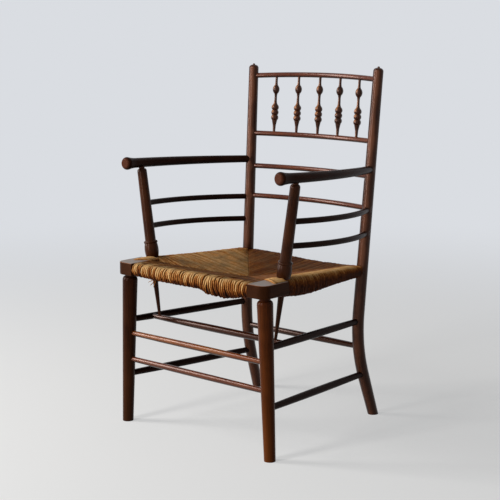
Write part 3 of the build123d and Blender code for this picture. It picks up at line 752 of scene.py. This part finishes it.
def pad_cords(side):
    """Cords laid over the rear of the left or right corner pad, from the seam to its outer edge."""
    inner_x = PAD_INNER_X if side == "right" else -PAD_INNER_X
    cords = []
    for number in range(PAD_CORDS):
        share = number / (PAD_CORDS - 1)
        inner = Vector((inner_x, PAD_INNER_Y + PAD_INNER_RUN * share, PAD_TOP))
        outer = Vector((PAD_OUTER_X[side], PAD_OUTER_Y + PAD_OUTER_RUN * share, PAD_TOP))
        tone = chance.uniform(*PAD_TONES)
        cord = []
        for along, height, radius in PAD_CORD:
            drift = chance.uniform(-PAD_DRIFT, PAD_DRIFT)
            swell = chance.uniform(-PAD_SWELL, PAD_SWELL)
            point = inner.lerp(outer, along) + Vector((0, drift, height + swell))
            cord.append((clear_of_shank(point), radius, tone, PAD_GRIME))
        cords.append(cord)
    return cords


def packing_mesh(panel):
    """The core that the cords of a panel lie on: closed loops along the rail, bridged and capped."""
    middle = CENTRE[0] if panel.across else CENTRE[1]
    stations = [
        panel.start + (middle - panel.start) * step / CORE_LOOPS for step in range(CORE_LOOPS + 1)
    ]
    stations += [
        middle + (panel.stop - middle) * step / CORE_LOOPS for step in range(1, CORE_LOOPS + 1)
    ]
    core = bmesh.new()
    loops = []
    for at in stations:
        ring = [core.verts.new(point * MM) for point, _ in panel.section(at, CORE_DEPTH * panel.radius)]
        loops.append([core.edges.new((a, b)) for a, b in zip(ring, ring[1:] + ring[:1])])
    for first, second in zip(loops, loops[1:]):
        bmesh.ops.bridge_loops(core, edges=first + second)
    bmesh.ops.edgeloop_fill(core, edges=loops[0])
    bmesh.ops.edgeloop_fill(core, edges=loops[-1])
    bmesh.ops.recalc_face_normals(core, faces=core.faces)
    mesh = bpy.data.meshes.new("packing_" + panel.name)
    core.to_mesh(mesh)
    core.free()
    return mesh


def place_piece(name, mesh, material, replaced):
    """Puts a finished mesh in the scene as a piece of the chair, in place of a CAD node."""
    piece = bpy.data.objects.new(name, mesh)
    scene.collection.objects.link(piece)
    mesh.materials.clear()
    mesh.materials.append(material)
    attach(piece, "root")
    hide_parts(replaced)


# Back posts: near black streaks in brown, and paler down the front as a painted highlight
POST_WOOD = stained_wood(
    "stained_beech_upright", "z", dark="#160804", brown="#46200E", worn="#6C3A19",
    wear=0.45, roughness=0.2, wax=0.32, wear_and_painted_light=((POST_HIGHLIGHT_FACING, 0.8, 0.98, 0.5, "#8C5A42"),),
)
# Arm supports: nearly the posts' stain, with a duller polish
SUPPORT_WOOD = stained_wood(
    "stained_beech_support", "z", dark="#160804", brown="#42200F", worn="#603519",
    wear=0.45, roughness=0.24, wax=0.16,
)
# Front legs: little polish left, and the stain worn off towards the floor, more so on the right one
RIGHT_LEG_WOOD = stained_wood(
    "stained_beech_worn_leg", "z", dark="#1E0B05", brown="#582810", worn="#7A421C",
    wear=0.4, roughness=0.24, wax=0.09, bare_foot="#84491E",
)
LEFT_LEG_WOOD = stained_wood(
    "stained_beech_dark_leg", "z", dark="#140703", brown="#3E1C0C", worn="#54301A",
    wear=0.4, roughness=0.24, wax=0.09, bare_foot="#50301A",
)
# Arms: dark and dull, black below as painted shade, and rubbed redder at the front of the ball
ARM_WOOD = stained_wood(
    "stained_beech_arm", "y", dark="#160A06", brown="#3A1D12", worn="#54301E",
    wear=0.4, roughness=0.26, wax=0.045, wear_and_painted_light=(PAINTED_SHADE_BELOW, (FORWARD, 0.5, 0.9, 0.7, "#5E3626")),
)
# Side rods and side stretchers: dark and dull all over, with painted shade below
ROD_WOOD = stained_wood(
    "stained_beech_rod", "y", dark="#140907", brown="#341B12", worn="#4A2A1C",
    wear=0.3, roughness=0.3, wax=0.05, wear_and_painted_light=(PAINTED_SHADE_BELOW,),
)
# Back rails: red brown and well polished, with painted shade below
RAIL_WOOD = stained_wood(
    "stained_beech_rail", "x", dark="#34140A", brown="#6C321C", worn="#8A4C2A",
    wear=0.4, roughness=0.17, wax=0.55, wear_and_painted_light=(PAINTED_SHADE_BELOW,),
)
# Upper front stretcher: worn pale and smooth by feet, with painted shade below
FOOT_RAIL_WOOD = stained_wood(
    "stained_beech_footworn", "x", dark="#55240E", brown="#84461E", worn="#9C6230",
    wear=0.6, roughness=0.19, wax=0.6, wear_and_painted_light=(PAINTED_SHADE_BELOW,),
)
# Lower front stretcher: worn less than the upper one, with painted shade below
LOW_RAIL_WOOD = stained_wood(
    "stained_beech_low_rail", "x", dark="#3E1A0C", brown="#6C341C", worn="#844C2E",
    wear=0.5, roughness=0.19, wax=0.6, wear_and_painted_light=(PAINTED_SHADE_BELOW,),
)
# Cross and back stretchers: out of the way of feet, so still dark, with painted shade below
DARK_RAIL_WOOD = stained_wood(
    "stained_beech_dark_rail", "x", dark="#1E0D08", brown="#44200F", worn="#5C3422",
    wear=0.4, roughness=0.19, wax=0.45, wear_and_painted_light=(PAINTED_SHADE_BELOW,),
)
# Seat rails: dark, with the tops of the corner pads worn brown, and grey where they are flattest
PAD_WOOD = stained_wood(
    "stained_beech_pad", "y", dark="#1A0C07", brown="#42220F", worn="#5C341A",
    wear=0.5, roughness=0.36, wax=0.06,
    wear_and_painted_light=((UP, 0.25, 0.6, 0.9, "#8A5430"), (UP, 0.8, 0.97, 0.9, "#A59A92")),
)
# Spindles: dark and shiny, with a painted glint of pale wood on the upper front of each bead
SPINDLE_WOOD = stained_wood(
    "stained_beech_spindle", "z", dark="#160804", brown="#3A180A", worn="#623216",
    wear=0.5, roughness=0.16, wax=0.5, wear_and_painted_light=((BEAD_GLINT_FACING, 0.86, 1.0, 0.7, "#B87844"),),
)

# Wood of each piece of the frame, by how its name starts
WOODS = {
    "back_post": POST_WOOD,
    "arm_support": SUPPORT_WOOD,
    "front_leg_right": RIGHT_LEG_WOOD,
    "front_leg_left": LEFT_LEG_WOOD,
    "arm_left": ARM_WOOD,
    "arm_right": ARM_WOOD,
    "side_rod": ROD_WOOD,
    "back_rail": RAIL_WOOD,
    "spindle": SPINDLE_WOOD,
    "seat_rail": PAD_WOOD,
    "stretcher_front_upper": FOOT_RAIL_WOOD,
    "stretcher_front_lower": LOW_RAIL_WOOD,
    "stretcher_cross": DARK_RAIL_WOOD,
    "stretcher_back": DARK_RAIL_WOOD,
    "stretcher_upper": ROD_WOOD,
    "stretcher_lower": ROD_WOOD,
}
for node_name, node in nodes.items():
    for start, wood in WOODS.items():
        if node_name.startswith(start):
            for slot in node.material_slots:
                slot.material = wood

# Seat: wound cords over a dark core, its darkness painted shade between the cords, one piece of each for
# every panel
RUSH = twisted_rush("twisted_rush_cord")
PACKING = packed_rush("packed_rush")
for panel in PANELS:
    cords = panel_cords(panel)
    if not panel.across:
        cords += pad_cords(panel.name)
    if panel.name == "front":
        cords += frayed_ends()
    cords_name = "rush_cords_" + panel.name
    wound_cords = cord_mesh(cords_name, cords, panel.rail_way)
    place_piece(cords_name, wound_cords, RUSH, "rush_" + panel.name)
    packing_name = "rush_packing_" + panel.name
    place_piece(packing_name, packing_mesh(panel), PACKING, "stuffing_" + panel.name)

# Floor
scene.view_settings.view_transform = "Standard"
ground = bmesh.new()
bmesh.ops.create_circle(ground, cap_ends=True, radius=FLOOR_RADIUS, segments=FLOOR_SIDES)
floor_mesh = bpy.data.meshes.new("floor")
ground.to_mesh(floor_mesh)
ground.free()
floor_mesh.materials.append(matt_floor("pale_matt_floor"))
floor = bpy.data.objects.new("floor", floor_mesh)
scene.collection.objects.link(floor)

# World: the pale backdrop where it is seen, and a dimmer fill for the rest
world = bpy.data.worlds.new("studio")
scene.world = world
world.use_nodes = True
tree = world.node_tree
tree.nodes.clear()
fill = add(
    tree, "ShaderNodeBackground", {"Color": linear(FILL_LIGHT), "Strength": FILL_STRENGTH}
).outputs["Background"]
backdrop = add(
    tree, "ShaderNodeBackground", {"Color": linear(BACKDROP), "Strength": 1.0}
).outputs["Background"]
mixed = add(tree, "ShaderNodeMixShader", {0: seen_rays(tree), 1: fill, 2: backdrop}).outputs["Shader"]
add(tree, "ShaderNodeOutputWorld", {"Surface": mixed})

# Two tall soft lamps from the front left, whose reflections draw highlights down the turned wood
for lamp_name, lamp_place, width, height, watts in LAMPS:
    light = bpy.data.lights.new(lamp_name, "AREA")
    light.shape = "RECTANGLE"
    light.size, light.size_y = width, height
    light.energy = watts
    lamp = bpy.data.objects.new(lamp_name, light)
    lamp.location = lamp_place
    lamp.rotation_euler = (Vector(LAMP_AIM) - Vector(lamp_place)).to_track_quat("-Z", "Y").to_euler()
    scene.collection.objects.link(lamp)

# Camera at the photograph's angle
camera = bpy.data.cameras.new("camera")
camera.lens = CAMERA_LENS
camera.sensor_width = CAMERA_SENSOR
viewer = bpy.data.objects.new("camera", camera)
viewer.location = CAMERA_PLACE
viewer.rotation_euler = Euler((math.radians(90 - CAMERA_TILT), 0, math.radians(CAMERA_TURN)))
scene.collection.objects.link(viewer)
scene.camera = viewer
